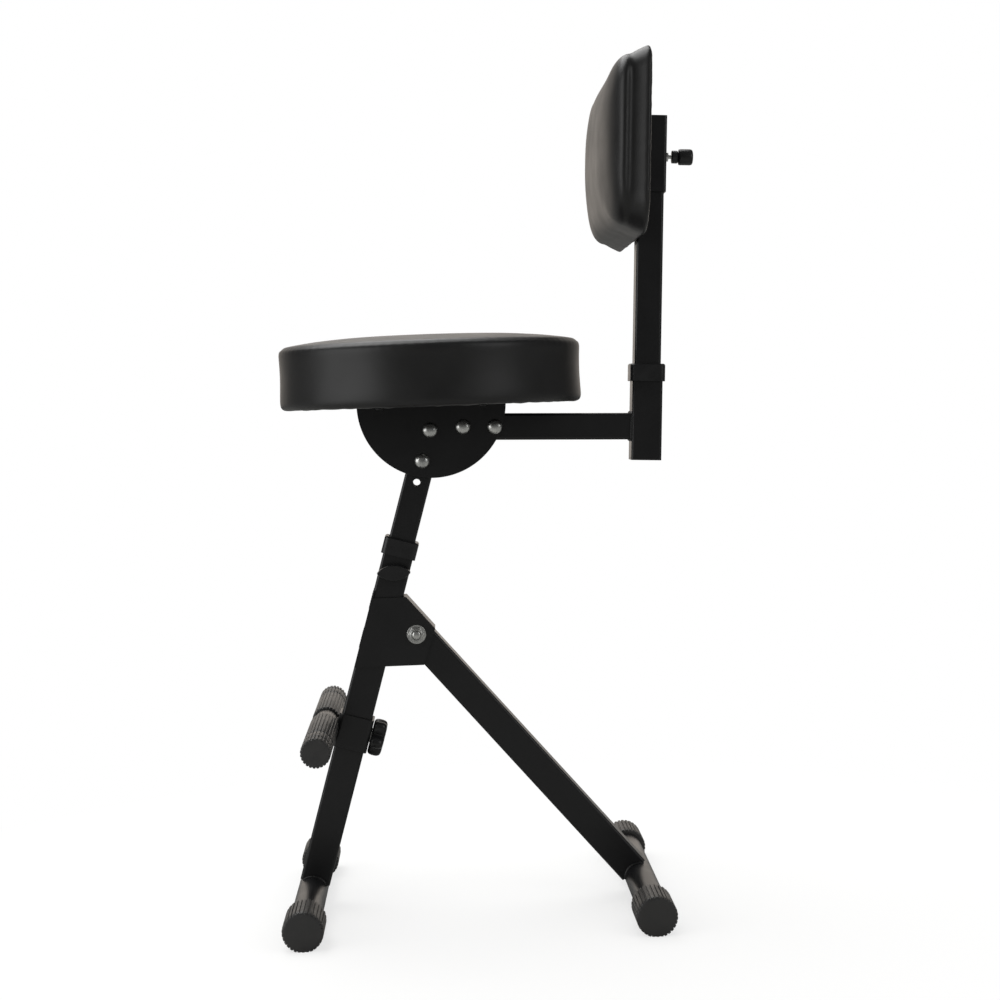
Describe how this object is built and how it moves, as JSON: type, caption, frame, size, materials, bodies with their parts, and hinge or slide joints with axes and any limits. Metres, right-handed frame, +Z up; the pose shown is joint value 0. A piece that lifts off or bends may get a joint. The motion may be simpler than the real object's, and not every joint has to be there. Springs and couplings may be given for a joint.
{
  "type": "folding guitar stool",
  "caption": "Folding guitar stool with a round padded seat, a padded backrest on a sliding post, an adjustable footrest bar and rubber-capped cross feet.",
  "frame": {"origin": "on the floor, at the centre of the bounding box", "axes": "+Z up, +X towards the rear leg and the backrest, the front leg and the footrest bar on the -X side; +Y to the sitter's right"},
  "size_m": [0.4034, 0.322, 0.7839],
  "materials": {
    "black_steel": "satin black powder coat",
    "zinc": "bright zinc plate",
    "dark_rubber": "matt fluted rubber",
    "black_plastic": "fine matt moulding",
    "plywood": "black-stained plywood",
    "black_vinyl": "smooth black vinyl over foam"
  },
  "bodies": {
    "front_frame": {"front_leg_tube": "black_steel", "front_cross_tube": "black_steel", "front_foot_cap_left": "dark_rubber", "front_foot_cap_right": "dark_rubber", "hinge_bracket": "black_steel", "fold_bolt": "zinc", "fold_nut": "zinc", "leg_collar": "black_plastic", "height_nut": "zinc"},
    "rear_frame": {"rear_leg_tube": "black_steel", "rear_cross_tube": "black_steel", "rear_foot_cap_left": "dark_rubber", "rear_foot_cap_right": "dark_rubber", "fold_bush": "zinc", "rear_leg_plug": "black_plastic"},
    "seat_frame": {"inner_leg_tube": "black_steel", "inner_leg_plug": "black_plastic", "seat_bracket_left": "black_steel", "seat_bracket_right": "black_steel", "leg_bolts": "zinc", "leg_nuts": "zinc", "arm_tube": "black_steel", "arm_bolts": "zinc", "arm_nuts": "zinc", "socket_tube": "black_steel", "socket_plug": "black_plastic", "post_collar": "black_plastic", "seat_board": "plywood", "seat_pad": "black_vinyl"},
    "back_post": {"back_post_tube": "black_steel", "post_plug": "black_plastic"},
    "backrest": {"back_sleeve": "black_steel", "back_plate": "black_steel", "back_board": "plywood", "back_pad": "black_vinyl", "lock_housing": "zinc"},
    "pull_pin": {"lock_pin": "zinc", "lock_knob": "black_plastic"},
    "footrest": {"footrest_clamp": "black_steel", "footrest_tube": "black_steel", "footrest_grip_left": "dark_rubber", "footrest_grip_right": "dark_rubber", "footrest_nut": "zinc"},
    "star_knob": {"footrest_knob": "black_plastic", "footrest_screw": "zinc"},
    "oval_knob": {"height_knob": "black_plastic", "height_screw": "zinc"}
  },
  "joints": [
    {"name": "rear_leg_fold", "type": "hinge", "parent": "front_frame", "child": "rear_frame", "pos_m": [-0.07565, 0, 0.25876], "axis": [0, 1, 0], "range_deg": [0, 47]},
    {"name": "seat_height", "type": "slide", "parent": "front_frame", "child": "seat_frame", "axis": [0.2823, 0, 0.9593], "range_m": [-0.055, 0.1]},
    {"name": "back_post_height", "type": "slide", "parent": "seat_frame", "child": "back_post", "axis": [0.0489, 0, 0.9988], "range_m": [0, 0.04]},
    {"name": "backrest_height", "type": "slide", "parent": "back_post", "child": "backrest", "axis": [0.0489, 0, 0.9988], "range_m": [-0.08, 0]},
    {"name": "lock_pull", "type": "slide", "parent": "backrest", "child": "pull_pin", "axis": [0.9988, 0, -0.0489], "range_m": [0, 0.006], "stiffness_N_per_m": 800, "springref_m": -0.004},
    {"name": "footrest_height", "type": "slide", "parent": "front_frame", "child": "footrest", "axis": [0.2823, 0, 0.9593], "range_m": [-0.08, 0.015]},
    {"name": "footrest_knob_turn", "type": "hinge", "parent": "footrest", "child": "star_knob", "pos_m": [-0.13915, 0, 0.16695], "axis": [0.9593, 0, -0.2823], "continuous": true},
    {"name": "height_knob_turn", "type": "hinge", "parent": "front_frame", "child": "oval_knob", "pos_m": [-0.09469, 0, 0.31804], "axis": [0, -1, 0], "continuous": true}
  ]
}
